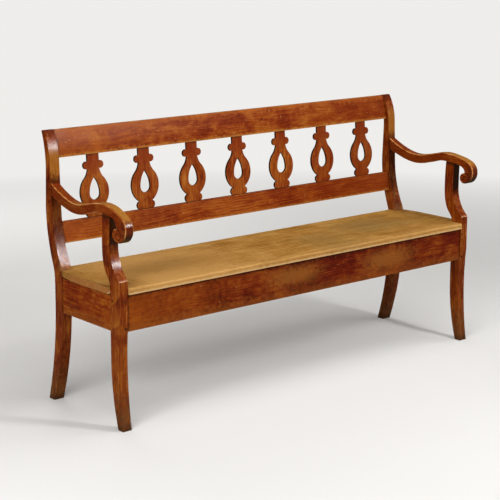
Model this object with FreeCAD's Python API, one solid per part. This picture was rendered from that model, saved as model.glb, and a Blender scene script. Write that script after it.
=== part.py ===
# Country settle bench with sabre legs, scroll arms and a raked back of pierced splats.
# Millimetres. X runs along the bench, the sitter faces -Y, Z is up and the floor is z = 0.
# The side view is drawn with y = 0 at the front face of the front posts, and the finished
# pieces are then moved so that the bench stands centred on the origin.
import FreeCAD, Part
import math
import os

V = FreeCAD.Vector

# Overall, over the posts
LENGTH = 1582.0
SEAT_TOP = 450.0
BACK_ABOVE_SEAT = 442.0
REAR_POST_AT = 325.0

# Front posts: a sabre leg, a square block at the seat and the arm's support in one piece
FRONT_POST_WIDTH = 32.5
FRONT_BLOCK_DEPTH = 48.0
FRONT_TOE_OUT = 11.0
FRONT_FOOT_DEPTH = 26.0
SHIN_HOLLOW = 11.4
SHIN_BELOW_SEAT = 100.0
CALF_BELOW_SEAT = 230.0
CORNER_ABOVE_SEAT = 25.0
COVE_HEIGHT = 100.0
SUPPORT_SETBACK = 47.5
SUPPORT_DEPTH = 40.5
SUPPORT_DRAW_IN = 3.5
SUPPORT_BACK_DRAW_IN = 5.5
HOLLOW_HEIGHT = 130.0
HOLLOW_KNEE_UP = 37.0
HOLLOW_KNEE_BACK = 18.0

# Rear posts: a sabre leg and the swept back post in one piece
REAR_POST_WIDTH = 35.7
REAR_POST_INSET = 4.5
REAR_BLOCK_DEPTH = 41.0
REAR_HEEL_OUT = 60.5
REAR_FOOT_DEPTH = 31.5
REAR_LEG_BELOW_SEAT = 109.0
RAKE_BELOW_SEAT = 7.0
RAKE_ANGLE = 27.0
RAKE_RADIUS = 57.0
SWEEP_RADIUS = 394.0
UPRIGHT_ANGLE = 2.4
UPRIGHT_RISE = 167.0
POST_ABOVE_CREST = 1.0
POST_TOP_ROUND = 4.0
POST_TOP_SWEEP = 31.5
BACK_RAKE_DROP = 40.0
BACK_RAKE_ANGLE = 21.0
BACK_RAKE_RADIUS = 145.0
BACK_SWEEP_RADIUS = 524.0
BACK_UPRIGHT_DRIFT = 5.5
BACK_UPRIGHT_RISE = 125.0
BACK_TOP_SWEEP = 20.5

# Arms
ARM_WIDTH = 31.0
ARM_EASE = 3.0
ARM_CROWN_UP = 254.5
ARM_CROWN_AT = 78.0
ARM_LANDING_FRONT_DOWN = 36.5
ARM_LANDING_BACK_DOWN = 31.5
ARM_DIP_DOWN = 23.0
ARM_DIP_THICK = 33.5
ARM_DIP_SHARE = 0.52
ARM_END_TOP_UP = 277.5
ARM_END_HEIGHT = 43.0
ARM_END_RISE = 4.5
ARM_TRIM = 6.0
ARM_TOP_CLIMB = 31.0
ARM_UNDER_CLIMB = 26.6
ARM_SWELL_SHARE = 0.185
ARM_SWELL_DOWN = 2.5
ARM_NAPE_SHARE = 0.23
ARM_NAPE_DOWN = 10.0
ARM_BROW_AHEAD = 48.0
ARM_BROW_DOWN = 7.5
ARM_UNDER_FRONT_SHARE = 0.26
ARM_UNDER_FRONT_DOWN = 21.5
ARM_UNDER_BACK_SHARE = 0.18
ARM_UNDER_BACK_DOWN = 26.5
SHOULDER_ANGLE = 24.0
SCROLL_RADIUS = 43.0
CURL_RADIUS = 19.0
THROAT_LEAN = 9.0
THROAT_SHARE = 0.25
THROAT_RISE = 0.705
LEFT_SCROLL_AT = 3.0
LEFT_SCROLL_DROP = 66.5
LEFT_CURL_REACH = 35.0
RIGHT_SCROLL_AT = -1.0
RIGHT_SCROLL_DROP = 61.0
RIGHT_CURL_REACH = 19.5

# Seat board
SEAT_THICK = 20.0
SEAT_NOSE = 5.0
SEAT_NOSE_ROUND = 7.0
SEAT_EDGE_ROUND = 2.5
SEAT_END_OVERHANG = 9.0
SEAT_END_TAPER = 75.0
SEAT_PAST_POST_FACE = 32.0
SEAT_NOTCH_GAP = 1.5

# Aprons, and the bearers and blocks under the seat
FRONT_APRON_DEPTH = 118.0
SIDE_APRON_DEPTH = 121.0
REAR_APRON_DEPTH = 118.0
APRON_THICK = 20.0
FRONT_APRON_SETBACK = 4.0
SIDE_APRON_SETBACK = 6.0
REAR_APRON_SETBACK = 8.0
BEARER_WIDTH = 45.0
BEARER_DEPTH = 32.0
BEARER_HOUSING = 9.0
BEARER_COUNT = 3
GLUE_BLOCK = 26.0
GLUE_BLOCK_LENGTH = 60.0

# Back rails
CREST_HEIGHT = 89.0
CREST_SETBACK_LOW = 10.5
CREST_SETBACK_HIGH = 0.5
CREST_THICK = 12.0
CREST_BELLY = 3.0
LOWER_RAIL_UP = 77.0
LOWER_RAIL_HEIGHT = 68.0
LOWER_RAIL_THICK = 18.0
LOWER_RAIL_SETBACK_LOW = 8.5
LOWER_RAIL_SETBACK_HIGH = 3.0
LOWER_RAIL_BELLY = 0.5

# Pierced splats, with heights taken up from the lower rail or down from the crest
SPLAT_COUNT = 7
SPLAT_END_GAP = 137.9
SPLAT_THICK = 8.0
SPLAT_TRIM = 2.0
SPLAT_NECK_HALF = 22.5
SPLAT_KNOB_RADIUS = 13.0
SPLAT_KNOB_OUT = 26.5
SPLAT_KNOB_DOWN = 37.0
SPLAT_SHOULDER_HALF = 37.1
SPLAT_SHOULDER_RISE = 46.6
SPLAT_BELLY_HALF = 56.0
SPLAT_BELLY_UP = 82.0
SPLAT_WAIST_HALF = 26.0
SPLAT_FOOT_RADIUS = 14.0
SPLAT_FOOT_OUT = 22.5
DROP_RADIUS = 20.5
DROP_UP = 77.0
DROP_HEIGHT = 55.0

# Joinery
FIT = 0.15
TENON_THICK = 9.0
TENON_LENGTH = 22.0
TENON_TOP_SHOULDER = 12.0
TENON_LOW_SHOULDER = 2.0
REAR_SIDE_TENON = 17.0
RAIL_TENON_FACE = 3.0
RAIL_TENON_EDGE = 9.0
SPLAT_TENON = 12.0
SPLAT_TENON_HALF = 17.0
SUPPORT_TENON_RISE = 18.0
SUPPORT_TENON_DEPTH = 24.0
ARM_TENON_LENGTH = 20.0
ARM_TENON_HEIGHT = 26.0
PEG_RADIUS = 3.5
PEG_SIDES = 8
PEG_FIT = 0.05
PEG_LENGTH = 24.0
PEG_FROM_SHOULDER = 8.5
SIDE_PEG_FROM_SHOULDER = 12.0
PEG_BELOW_SEAT = 22.0
PEG_ABOVE_APRON_EDGE = 11.0

SQUARE = 90.0
TOUCHING = 0.001

OUTER = LENGTH / 2
FRONT_INNER = OUTER - FRONT_POST_WIDTH
REAR_OUTER = OUTER - REAR_POST_INSET
REAR_INNER = REAR_OUTER - REAR_POST_WIDTH
SEAT_BOTTOM = SEAT_TOP - SEAT_THICK
CREST_TOP = SEAT_TOP + BACK_ABOVE_SEAT
CREST_BOTTOM = CREST_TOP - CREST_HEIGHT
LOWER_RAIL_BOTTOM = SEAT_TOP + LOWER_RAIL_UP
LOWER_RAIL_TOP = LOWER_RAIL_BOTTOM + LOWER_RAIL_HEIGHT
REAR_POST_BACK = REAR_POST_AT + REAR_BLOCK_DEPTH
SUPPORT_BACK = SUPPORT_SETBACK + SUPPORT_DEPTH
ARM_LANDING_FRONT_UP = ARM_CROWN_UP - ARM_LANDING_FRONT_DOWN
ARM_LANDING_BACK_UP = ARM_CROWN_UP - ARM_LANDING_BACK_DOWN
ARM_CENTRE = OUTER - ARM_WIDTH / 2
SIDE_APRON_CENTRE = OUTER - SIDE_APRON_SETBACK - APRON_THICK / 2
BEARER_STEP = 2 * FRONT_INNER / (BEARER_COUNT + 1)
SPLAT_PITCH = 2 * (REAR_INNER - SPLAT_END_GAP) / (SPLAT_COUNT - 1)


# Drawing
def side(y, z):
    """A point of the side view."""
    return V(0, y, z)


def lean(angle):
    """Unit direction that rises while it leans back by angle degrees."""
    return V(0, math.sin(math.radians(angle)), math.cos(math.radians(angle)))


def climb(angle):
    """Unit direction that runs back while it climbs by angle degrees."""
    return lean(SQUARE - angle)


class Outline:
    """A closed outline, drawn one stretch after another in the plane across its normal."""

    def __init__(self, start, normal=V(1, 0, 0)):
        self.start = start
        self.at = start
        self.normal = normal
        self.edges = []
        self.heading = None

    def _add(self, curve, end, heading):
        self.edges.append(curve.toShape())
        self.at = end
        self.heading = heading
        return self

    def line(self, end):
        return self._add(Part.LineSegment(self.at, end), end, (end - self.at).normalize())

    def bow(self, end, rise, heading=None):
        """Arc to end whose middle stands rise off the chord, to the left of travel."""
        left = self.normal.cross(end - self.at).normalize()
        middle = (self.at + end) * 0.5 + left * rise
        return self._add(Part.Arc(self.at, middle, end), end, heading)

    def _swing(self, first, second):
        """Signed angle from one direction to another, left turns being positive."""
        angle = first.getAngle(second)
        return angle if first.cross(second).dot(self.normal) > 0 else -angle

    def leave(self, end):
        """Arc to end that leaves along the present heading."""
        chord = end - self.at
        swing = self._swing(self.heading, chord)
        heading = FreeCAD.Rotation(self.normal, math.degrees(2 * swing)).multVec(self.heading)
        return self.bow(end, -chord.Length / 2 * math.tan(swing / 2), heading)

    def arrive(self, end, heading):
        """Arc to end that arrives there along a heading."""
        chord = end - self.at
        swing = self._swing(chord, heading)
        return self.bow(end, -chord.Length / 2 * math.tan(swing / 2), heading)

    def turn(self, radius, angle):
        """Arc of a radius that turns the heading by angle degrees, left turns being positive."""
        left = self.normal.cross(self.heading)
        centre = self.at + left * math.copysign(radius, angle)
        spoke = self.at - centre
        middle = centre + FreeCAD.Rotation(self.normal, angle / 2).multVec(spoke)
        whole = FreeCAD.Rotation(self.normal, angle)
        end = centre + whole.multVec(spoke)
        return self._add(Part.Arc(self.at, middle, end), end, whole.multVec(self.heading))

    def around(self, centre, end, heading):
        """Arc about a centre to end, starting towards the present heading."""
        spoke = self.at - centre
        swing = self._swing(spoke, end - centre)
        if self._swing(spoke, self.heading) * swing < 0:
            swing -= math.copysign(2 * math.pi, swing)
        middle = centre + FreeCAD.Rotation(self.normal, math.degrees(swing / 2)).multVec(spoke)
        return self._add(Part.Arc(self.at, middle, end), end, heading)

    def curve(self, points, first, last):
        """Smooth curve through the points, with the directions at its two ends."""
        smooth = Part.BSplineCurve()
        smooth.interpolate([self.at] + points, InitialTangent=first, FinalTangent=last)
        return self._add(smooth, points[-1], last)

    def face(self):
        """The outline's face, closed with a straight line where it is still open."""
        if self.at.distanceToPoint(self.start) > TOUCHING:
            self.line(self.start)
        return Part.Face(Part.Wire(self.edges))


def board(face, low, high):
    """A side-view face given thickness between two x positions."""
    placed = face.copy()
    placed.translate(V(low, 0, 0))
    return placed.extrude(V(high - low, 0, 0))


def eased(solid, width):
    """The board with the arrises along its two side faces planed off at 45 degrees."""
    sides = (solid.BoundBox.XMin, solid.BoundBox.XMax)
    arrises = []
    for edge in solid.Edges:
        low, high = edge.BoundBox.XMin, edge.BoundBox.XMax
        if high - low < TOUCHING and min(abs(low - face) for face in sides) < TOUCHING:
            arrises.append(edge)
    return solid.makeChamfer(width, arrises)


def box(low, high, grow=0.0):
    """An upright box between two corners, moved out on every side by a clearance."""
    corner = V(*[min(a, b) - grow for a, b in zip(low, high)])
    size = V(*[abs(a - b) + 2 * grow for a, b in zip(low, high)])
    return Part.makeBox(size.x, size.y, size.z, corner)


def largest(shape):
    """The biggest solid of what a cut has left."""
    return max(shape.Solids, key=lambda piece: piece.Volume)


def mirrored(solid):
    """The same solid on the bench's other end."""
    return solid.mirror(V(0, 0, 0), V(1, 0, 0))


def both_ends(solid):
    return [mirrored(solid), solid]


# Posts
def front_post_face():
    corner = SEAT_TOP + CORNER_ABOVE_SEAT
    top = SEAT_TOP + (ARM_LANDING_BACK_UP + ARM_CROWN_UP) / 2
    knee = side(FRONT_BLOCK_DEPTH + HOLLOW_KNEE_BACK, SEAT_TOP + HOLLOW_KNEE_UP)
    outline = Outline(side(-FRONT_TOE_OUT, 0))
    outline.bow(side(0, SEAT_TOP - SHIN_BELOW_SEAT), -SHIN_HOLLOW)
    outline.line(side(0, corner))
    outline.arrive(side(SUPPORT_SETBACK, corner + COVE_HEIGHT), lean(0))
    outline.leave(side(SUPPORT_SETBACK - SUPPORT_DRAW_IN, top))
    outline.line(side(SUPPORT_BACK - SUPPORT_BACK_DRAW_IN, top))
    outline.arrive(side(SUPPORT_BACK, SEAT_TOP + HOLLOW_HEIGHT), -lean(0))
    outline.curve([knee, side(FRONT_BLOCK_DEPTH, SEAT_TOP)], -lean(0), -lean(0))
    outline.line(side(FRONT_BLOCK_DEPTH, SEAT_TOP - CALF_BELOW_SEAT))
    outline.leave(side(FRONT_FOOT_DEPTH - FRONT_TOE_OUT, 0))
    return outline.face()


def rear_post_face():
    crown = CREST_TOP + POST_ABOVE_CREST
    rake = math.radians(BACK_RAKE_ANGLE)
    along_rake = V(0, 1 - math.cos(rake), math.sin(rake))
    block_top = side(REAR_POST_BACK, SEAT_TOP - BACK_RAKE_DROP)
    bend = block_top + along_rake * BACK_RAKE_RADIUS
    waist = bend + along_rake * BACK_SWEEP_RADIUS
    nape = waist + V(0, -BACK_UPRIGHT_DRIFT, BACK_UPRIGHT_RISE)
    outline = Outline(side(REAR_POST_AT + REAR_HEEL_OUT, 0))
    outline.arrive(side(REAR_POST_AT, SEAT_TOP - REAR_LEG_BELOW_SEAT), lean(0))
    outline.line(side(REAR_POST_AT, SEAT_TOP - RAKE_BELOW_SEAT))
    outline.turn(RAKE_RADIUS, -RAKE_ANGLE)
    outline.turn(SWEEP_RADIUS, RAKE_ANGLE - UPRIGHT_ANGLE)
    outline.line(outline.at + lean(UPRIGHT_ANGLE) * UPRIGHT_RISE)
    outline.leave(side(outline.at.y + POST_TOP_SWEEP, crown))
    outline.line(side(nape.y + BACK_TOP_SWEEP - POST_TOP_ROUND, crown))
    outline.turn(POST_TOP_ROUND, -SQUARE)
    outline.arrive(nape, -lean(0))
    outline.line(waist)
    outline.arrive(bend, -lean(BACK_RAKE_ANGLE))
    outline.arrive(block_top, -lean(0))
    outline.line(side(REAR_POST_BACK, SEAT_TOP - REAR_LEG_BELOW_SEAT))
    outline.leave(side(REAR_POST_AT + REAR_HEEL_OUT + REAR_FOOT_DEPTH, 0))
    return outline.face()


REAR_POST_FACE = rear_post_face()


def post_front(z):
    """The y of the rear post's front edge at a height."""
    reach = REAR_POST_AT + REAR_POST_BACK
    return Part.makeLine(side(-reach, z), side(reach, z)).common(REAR_POST_FACE).BoundBox.YMin


def post_back(z):
    """The y of the rear post's back edge at a height."""
    reach = REAR_POST_AT + REAR_POST_BACK
    return Part.makeLine(side(-reach, z), side(reach, z)).common(REAR_POST_FACE).BoundBox.YMax


# Arms
def arm_face(scroll_at, scroll_drop, curl_reach):
    """Arm that dips behind its support, crowns over it and rolls down into a scroll."""
    crown = SEAT_TOP + ARM_CROWN_UP
    dip = crown - ARM_DIP_DOWN
    end_top = SEAT_TOP + ARM_END_TOP_UP
    end_y = post_front(end_top)
    span = end_y - SUPPORT_BACK
    dip_y = SUPPORT_BACK + ARM_DIP_SHARE * span

    scroll = side(scroll_at, crown - scroll_drop)
    spoke = lean(-SHOULDER_ANGLE)
    forward = V(0, -spoke.z, spoke.y)
    shoulder = scroll + spoke * SCROLL_RADIUS

    curl_y = curl_reach - CURL_RADIUS - scroll.y
    curl_z = -math.sqrt((SCROLL_RADIUS - CURL_RADIUS) ** 2 - curl_y ** 2)
    curl = scroll + side(curl_y, curl_z)
    tail = scroll + side(curl_y, curl_z).normalize() * SCROLL_RADIUS
    along_tail = V(0, -curl_z, curl_y).normalize()
    throat = curl + lean(-THROAT_LEAN) * CURL_RADIUS
    landing_front = side(SUPPORT_SETBACK - SUPPORT_DRAW_IN, SEAT_TOP + ARM_LANDING_FRONT_UP)
    landing_back = side(SUPPORT_BACK, SEAT_TOP + ARM_LANDING_BACK_UP)
    along_landing = (landing_back - landing_front).normalize()
    throat_bend = side(throat.y + THROAT_SHARE * (landing_front.y - throat.y),
                       throat.z + THROAT_RISE * (landing_front.z - throat.z))
    end = side(end_y + ARM_TRIM, end_top + ARM_END_RISE)
    end_low = end - side(0, ARM_END_HEIGHT)

    outline = Outline(end)
    outline.curve([side(end_y - ARM_SWELL_SHARE * span, crown - ARM_SWELL_DOWN), side(dip_y, dip),
                   side(SUPPORT_BACK + ARM_NAPE_SHARE * span, crown - ARM_NAPE_DOWN),
                   side(ARM_CROWN_AT, crown),
                   side(ARM_CROWN_AT - ARM_BROW_AHEAD, crown - ARM_BROW_DOWN), shoulder],
                  -climb(ARM_TOP_CLIMB), forward)
    outline.around(scroll, tail, along_tail)
    outline.around(curl, throat, lean(0))
    outline.curve([throat_bend, landing_front], lean(0), along_landing)
    outline.line(landing_back)
    outline.curve([side(SUPPORT_BACK + ARM_UNDER_FRONT_SHARE * span, dip - ARM_UNDER_FRONT_DOWN),
                   side(dip_y, dip - ARM_DIP_THICK),
                   side(dip_y + ARM_UNDER_BACK_SHARE * span, dip - ARM_UNDER_BACK_DOWN), end_low],
                  along_landing, climb(ARM_UNDER_CLIMB))
    return outline.face()


def splayed(solid):
    """The arm turned about its support, so that its back end follows the rear post in."""
    reach = post_front(SEAT_TOP + ARM_END_TOP_UP) - SUPPORT_SETBACK
    angle = math.degrees(math.atan2(REAR_POST_INSET, reach))
    turned = solid.copy()
    turned.rotate(V(OUTER, SUPPORT_SETBACK, 0), V(0, 0, 1), angle)
    return turned


# Back rails
def rail_face(bottom, top, setbacks, thick, belly, face_in, edge_in):
    """Section of a back rail, set back from the rear posts' front edge and trimmed all round."""
    low = side(post_front(bottom) + setbacks[0], bottom)
    high = side(post_front(top) + setbacks[1], top)
    rise = (high - low) * (edge_in / (top - bottom))
    depth = V(0, thick, 0)
    inset = V(0, face_in, 0)
    outline = Outline(low + rise + inset)
    outline.bow(high - rise + inset, belly)
    outline.line(high - rise + depth - inset)
    outline.bow(low + rise + depth - inset, -belly)
    return outline.face()


def crest_face(face_in=0.0, edge_in=0.0):
    setbacks = (CREST_SETBACK_LOW, CREST_SETBACK_HIGH)
    return rail_face(CREST_BOTTOM, CREST_TOP, setbacks, CREST_THICK, CREST_BELLY, face_in, edge_in)


def lower_rail_face(face_in=0.0, edge_in=0.0):
    setbacks = (LOWER_RAIL_SETBACK_LOW, LOWER_RAIL_SETBACK_HIGH)
    return rail_face(LOWER_RAIL_BOTTOM, LOWER_RAIL_TOP, setbacks, LOWER_RAIL_THICK,
                     LOWER_RAIL_BELLY, face_in, edge_in)


# Splats, drawn upright on the lower rail and then leaned back to meet the crest
def splat_blank(height):
    """The right half's outline from the foot up, thickened and joined to its mirror image."""
    face_y = -SPLAT_THICK / 2
    up = V(0, 0, 1)
    facing = V(0, -1, 0)
    knob = V(SPLAT_KNOB_OUT, face_y, height - SPLAT_KNOB_DOWN)
    foot = V(SPLAT_FOOT_OUT, face_y, SPLAT_FOOT_RADIUS)
    knob_rise = math.sqrt(SPLAT_KNOB_RADIUS ** 2 - (SPLAT_KNOB_OUT - SPLAT_NECK_HALF) ** 2)
    waist_rise = math.sqrt(SPLAT_FOOT_RADIUS ** 2 - (SPLAT_WAIST_HALF - SPLAT_FOOT_OUT) ** 2)
    belly = V(SPLAT_BELLY_HALF, face_y, SPLAT_BELLY_UP)

    half = Outline(V(0, face_y, -SPLAT_TRIM), facing)
    half.line(V(SPLAT_FOOT_OUT, face_y, -SPLAT_TRIM))
    half.line(V(SPLAT_FOOT_OUT, face_y, 0))
    half.heading = V(1, 0, 0)
    half.around(foot, V(SPLAT_WAIST_HALF, face_y, foot.z + waist_rise), V(-1, 0, 0))
    half.arrive(belly, up)
    half.leave(V(SPLAT_SHOULDER_HALF, face_y, belly.z + SPLAT_SHOULDER_RISE))
    half.leave(V(SPLAT_NECK_HALF, face_y, knob.z - knob_rise))
    half.heading = V(1, 0, 0)
    half.around(knob, V(SPLAT_NECK_HALF, face_y, knob.z + knob_rise), V(-1, 0, 0))
    half.line(V(SPLAT_NECK_HALF, face_y, height + SPLAT_TRIM))
    half.line(V(0, face_y, height + SPLAT_TRIM))

    drop = Outline(V(0, face_y, DROP_UP - DROP_RADIUS), facing)
    drop.heading = V(1, 0, 0)
    drop.turn(DROP_RADIUS, SQUARE)
    drop.leave(V(0, face_y, DROP_UP + DROP_HEIGHT))
    right = half.face().extrude(V(0, SPLAT_THICK, 0)).cut(drop.face().extrude(V(0, SPLAT_THICK, 0)))
    return right.fuse(mirrored(right)).removeSplitter()


def splat_frame():
    """Height of the splats in their own plane, and the placement that leans them back."""
    low_y = post_front(LOWER_RAIL_TOP) + LOWER_RAIL_SETBACK_HIGH + LOWER_RAIL_THICK / 2
    high_y = post_front(CREST_BOTTOM) + CREST_SETBACK_LOW + CREST_THICK / 2
    rise = side(high_y - low_y, CREST_BOTTOM - LOWER_RAIL_TOP)
    turn = FreeCAD.Rotation(V(1, 0, 0), -math.degrees(math.atan2(rise.y, rise.z)))
    return rise.Length, FreeCAD.Placement(side(low_y, LOWER_RAIL_TOP), turn)


def splat_tenons(grow=0.0):
    """The two stub tenons of a splat at x = 0, each reaching as far into the splat as into a rail."""
    height, placement = splat_frame()
    low = box(V(-SPLAT_TENON_HALF, -SPLAT_THICK / 2, -SPLAT_TENON),
              V(SPLAT_TENON_HALF, SPLAT_THICK / 2, SPLAT_TENON), grow)
    high = low.copy()
    high.translate(V(0, 0, height))
    for tenon in (low, high):
        tenon.Placement = placement.multiply(tenon.Placement)
    return [low, high]


def splat():
    """One splat at x = 0, its neck and foot trimmed level to the rails, with its tenons."""
    height, placement = splat_frame()
    blank = splat_blank(height)
    blank.Placement = placement
    rails = [board(face, -SPLAT_BELLY_HALF, SPLAT_BELLY_HALF) for face in (crest_face(), lower_rail_face())]
    return largest(blank.cut(rails)).fuse(splat_tenons()).removeSplitter()


def moved(solid, x):
    copy = solid.copy()
    copy.translate(V(x, 0, 0))
    return copy


def splat_places():
    return [(number - (SPLAT_COUNT - 1) / 2) * SPLAT_PITCH for number in range(SPLAT_COUNT)]


# Tenons, each starting inside its own piece and used again, grown by the fit, as its mortise
def apron_tenon_heights(depth):
    return SEAT_BOTTOM - depth + TENON_LOW_SHOULDER, SEAT_BOTTOM - TENON_TOP_SHOULDER


def front_apron_tenon(grow=0.0):
    low, high = apron_tenon_heights(FRONT_APRON_DEPTH)
    middle = FRONT_APRON_SETBACK + APRON_THICK / 2
    return box(V(FRONT_INNER - TENON_THICK, middle - TENON_THICK / 2, low),
               V(FRONT_INNER + TENON_LENGTH, middle + TENON_THICK / 2, high), grow)


def rear_apron_tenon(grow=0.0):
    low, high = apron_tenon_heights(REAR_APRON_DEPTH)
    middle = REAR_POST_BACK - REAR_APRON_SETBACK - APRON_THICK / 2
    return box(V(REAR_INNER - TENON_THICK, middle - TENON_THICK / 2, low),
               V(REAR_INNER + TENON_LENGTH, middle + TENON_THICK / 2, high), grow)


def side_apron_tenon(grow=0.0):
    """One long tongue that runs into the front post at one end and the rear post at the other."""
    low, high = apron_tenon_heights(SIDE_APRON_DEPTH)
    return box(V(SIDE_APRON_CENTRE - TENON_THICK / 2, FRONT_BLOCK_DEPTH - TENON_LENGTH, low),
               V(SIDE_APRON_CENTRE + TENON_THICK / 2, REAR_POST_AT + REAR_SIDE_TENON, high), grow)


def rail_tenon(section, grow=0.0):
    """The rail's section trimmed by its shoulders and run into the rear post."""
    face = section(RAIL_TENON_FACE - grow, RAIL_TENON_EDGE - grow)
    return board(face, REAR_INNER - TENON_LENGTH, REAR_INNER + TENON_LENGTH + grow)


def support_tenon(grow=0.0):
    middle = SUPPORT_SETBACK - SUPPORT_DRAW_IN + SUPPORT_DEPTH / 2
    landing = SEAT_TOP + ARM_LANDING_FRONT_UP
    return box(V(ARM_CENTRE - TENON_THICK / 2, middle - SUPPORT_TENON_DEPTH / 2, landing - TENON_THICK),
               V(ARM_CENTRE + TENON_THICK / 2, middle + SUPPORT_TENON_DEPTH / 2,
                 landing + SUPPORT_TENON_RISE), grow)


def arm_tenon(grow=0.0):
    middle = SEAT_TOP + ARM_END_TOP_UP - ARM_END_HEIGHT / 2
    face = post_front(middle)
    centre = ARM_CENTRE - REAR_POST_INSET
    return box(V(centre - TENON_THICK / 2, face - TENON_THICK, middle - ARM_TENON_HEIGHT / 2),
               V(centre + TENON_THICK / 2, face + ARM_TENON_LENGTH,
                 middle + ARM_TENON_HEIGHT / 2), grow)


# Whittled pegs, driven hard enough that each hole has taken the peg's sides
def peg(head, inward, grow=0.0):
    """A many-sided peg driven inward from its head."""
    stem = FreeCAD.Placement(head, FreeCAD.Rotation(V(0, 0, 1), inward))
    spoke = V(PEG_RADIUS + grow, 0, 0)
    step = 4 * SQUARE / PEG_SIDES
    corners = [stem.multVec(FreeCAD.Rotation(V(0, 0, 1), number * step).multVec(spoke))
               for number in range(PEG_SIDES + 1)]
    return Part.Face(Part.makePolygon(corners)).extrude(inward * (PEG_LENGTH + grow))


def peg_hole(head, inward):
    return peg(head, inward, PEG_FIT)


def peg_heights(depth):
    return SEAT_BOTTOM - depth + PEG_ABOVE_APRON_EDGE, SEAT_BOTTOM - PEG_BELOW_SEAT


def arm_pegs(make):
    height = SEAT_TOP + ARM_END_TOP_UP - ARM_END_HEIGHT / 2
    return [make(V(REAR_OUTER, post_front(height) + PEG_FROM_SHOULDER, height), V(-1, 0, 0))]


def front_apron_pegs(make):
    return [make(V(FRONT_INNER + PEG_FROM_SHOULDER, 0, z), V(0, 1, 0))
            for z in peg_heights(FRONT_APRON_DEPTH)]


def side_apron_pegs(make):
    return [make(V(OUTER, FRONT_BLOCK_DEPTH - SIDE_PEG_FROM_SHOULDER, z), V(-1, 0, 0))
            for z in peg_heights(SIDE_APRON_DEPTH)]


def rear_apron_pegs(make):
    return [make(V(REAR_INNER + PEG_FROM_SHOULDER, REAR_POST_BACK, z), V(0, -1, 0))
            for z in peg_heights(REAR_APRON_DEPTH)]


# The right-hand pieces; those of the left end are their mirror images
def front_post():
    solid = board(front_post_face(), FRONT_INNER, OUTER)
    arm_over = board(arm_face(*RIGHT_SCROLL), FRONT_INNER - ARM_EASE, OUTER + ARM_EASE)
    solid = largest(solid.cut(splayed(arm_over)))
    solid = solid.fuse(support_tenon()).removeSplitter()
    spaces = [front_apron_tenon(FIT), side_apron_tenon(FIT)]
    spaces += front_apron_pegs(peg_hole) + side_apron_pegs(peg_hole)
    return solid.cut(spaces)


def rear_post():
    solid = board(REAR_POST_FACE, REAR_INNER, REAR_OUTER)
    spaces = [rear_apron_tenon(FIT), side_apron_tenon(FIT), arm_tenon(FIT)]
    spaces += [rail_tenon(crest_face, FIT), rail_tenon(lower_rail_face, FIT)]
    spaces += arm_pegs(peg_hole) + rear_apron_pegs(peg_hole)
    return solid.cut(spaces)


def arm(scroll):
    solid = splayed(eased(board(arm_face(*scroll), OUTER - ARM_WIDTH, OUTER), ARM_EASE))
    solid = largest(solid.cut(board(REAR_POST_FACE, REAR_INNER, REAR_OUTER)))
    solid = solid.fuse(arm_tenon()).removeSplitter()
    return solid.cut([support_tenon(FIT)] + arm_pegs(peg_hole))


def side_apron():
    solid = box(V(SIDE_APRON_CENTRE - APRON_THICK / 2, FRONT_BLOCK_DEPTH, SEAT_BOTTOM - SIDE_APRON_DEPTH),
                V(SIDE_APRON_CENTRE + APRON_THICK / 2, REAR_POST_AT, SEAT_BOTTOM))
    return solid.fuse(side_apron_tenon()).removeSplitter().cut(side_apron_pegs(peg_hole))


# Pieces that run the bench's length
def bearer_places():
    return [(number - (BEARER_COUNT - 1) / 2) * BEARER_STEP for number in range(BEARER_COUNT)]


def bearer(x, grow=0.0):
    front = FRONT_APRON_SETBACK + APRON_THICK
    back = REAR_POST_BACK - REAR_APRON_SETBACK - APRON_THICK
    return box(V(x - BEARER_WIDTH / 2, front - BEARER_HOUSING, SEAT_BOTTOM - BEARER_DEPTH),
               V(x + BEARER_WIDTH / 2, back + BEARER_HOUSING, SEAT_BOTTOM), grow)


def long_apron(inner, front, depth, tenon, pegs):
    solid = box(V(-inner, front, SEAT_BOTTOM - depth), V(inner, front + APRON_THICK, SEAT_BOTTOM))
    solid = solid.fuse(both_ends(tenon)).removeSplitter()
    spaces = [bearer(x, FIT) for x in bearer_places()]
    for hole in pegs:
        spaces += both_ends(hole)
    return solid.cut(spaces)


def front_apron():
    return long_apron(FRONT_INNER, FRONT_APRON_SETBACK, FRONT_APRON_DEPTH,
                      front_apron_tenon(), front_apron_pegs(peg_hole))


def rear_apron():
    front = REAR_POST_BACK - REAR_APRON_SETBACK - APRON_THICK
    return long_apron(REAR_INNER, front, REAR_APRON_DEPTH, rear_apron_tenon(), rear_apron_pegs(peg_hole))


def back_rail(section):
    """A rail with a tenon at both ends and a mortise for every splat."""
    solid = board(section(), -REAR_INNER, REAR_INNER)
    solid = solid.fuse(both_ends(rail_tenon(section))).removeSplitter()
    mortises = splat_tenons(FIT)
    return solid.cut([moved(mortise, x) for x in splat_places() for mortise in mortises])


def on_edge(edge, limit, value):
    """True for an edge of the seat's top face that lies along a limit of the plank."""
    bounds = edge.BoundBox
    level = abs(bounds.ZMin - SEAT_TOP) < TOUCHING
    return level and abs(getattr(bounds, limit) - value) < TOUCHING


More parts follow.
